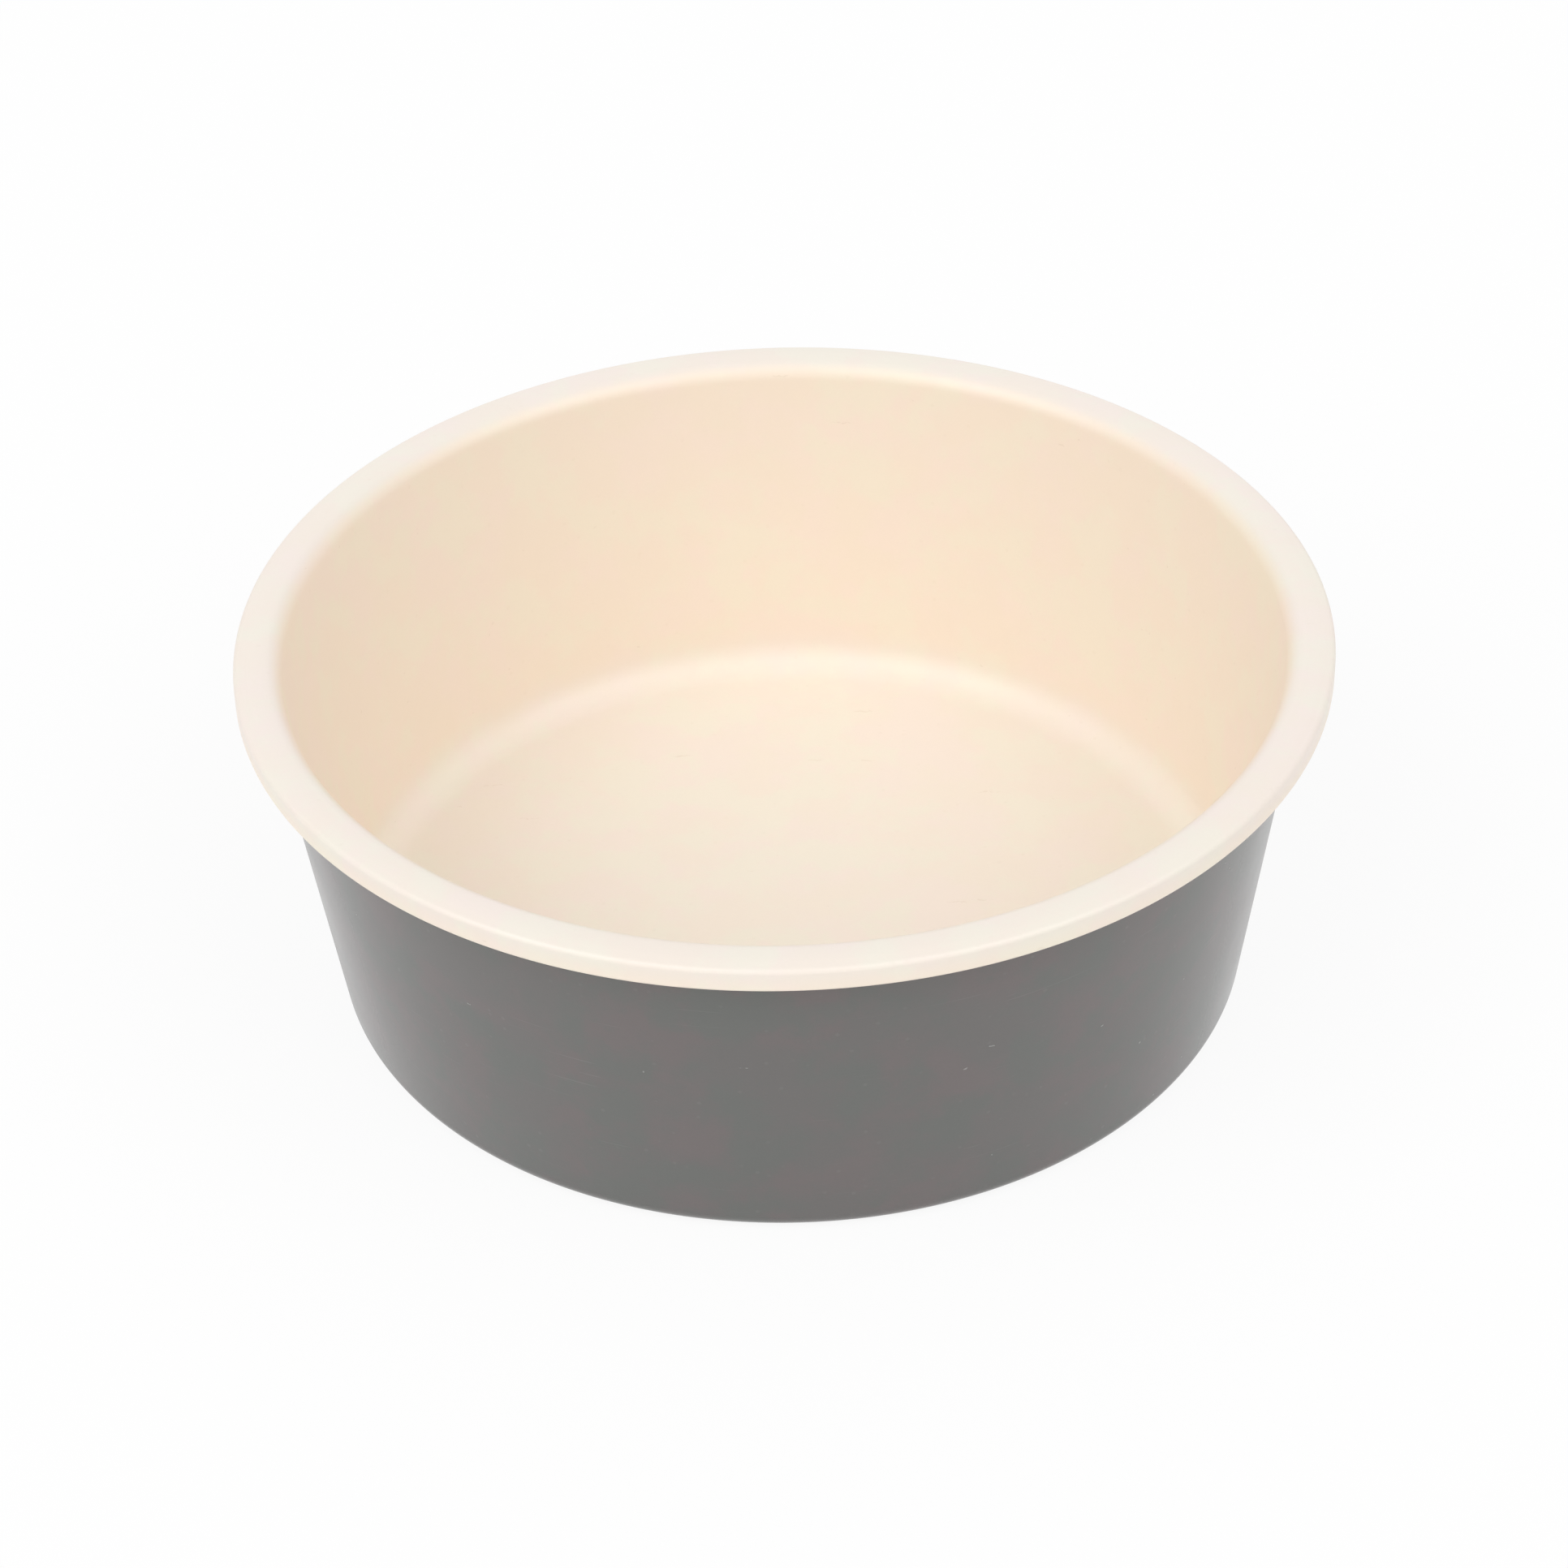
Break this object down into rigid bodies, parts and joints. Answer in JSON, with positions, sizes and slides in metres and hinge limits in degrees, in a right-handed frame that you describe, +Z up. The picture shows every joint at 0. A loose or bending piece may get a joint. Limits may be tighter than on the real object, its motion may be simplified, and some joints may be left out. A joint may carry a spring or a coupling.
{
  "type": "round bowl",
  "caption": "Round bowl with tapered walls, a flat floor and a flanged rim, moulded as a cream liner nested in a grey outer shell.",
  "frame": {"origin": "centre of the bottom plane, on the surface that the foot ring stands on", "axes": "+Z up along the bowl's axis of revolution; the bowl is round, so X and Y are any two level directions"},
  "size_m": [0.2, 0.2, 0.0705],
  "materials": {
    "liner_cream": "satin moulded, cream",
    "shell_grey": "satin moulded, warm grey"
  },
  "bodies": {
    "root": {"liner": "liner_cream", "outer_shell": "shell_grey"}
  },
  "joints": []
}
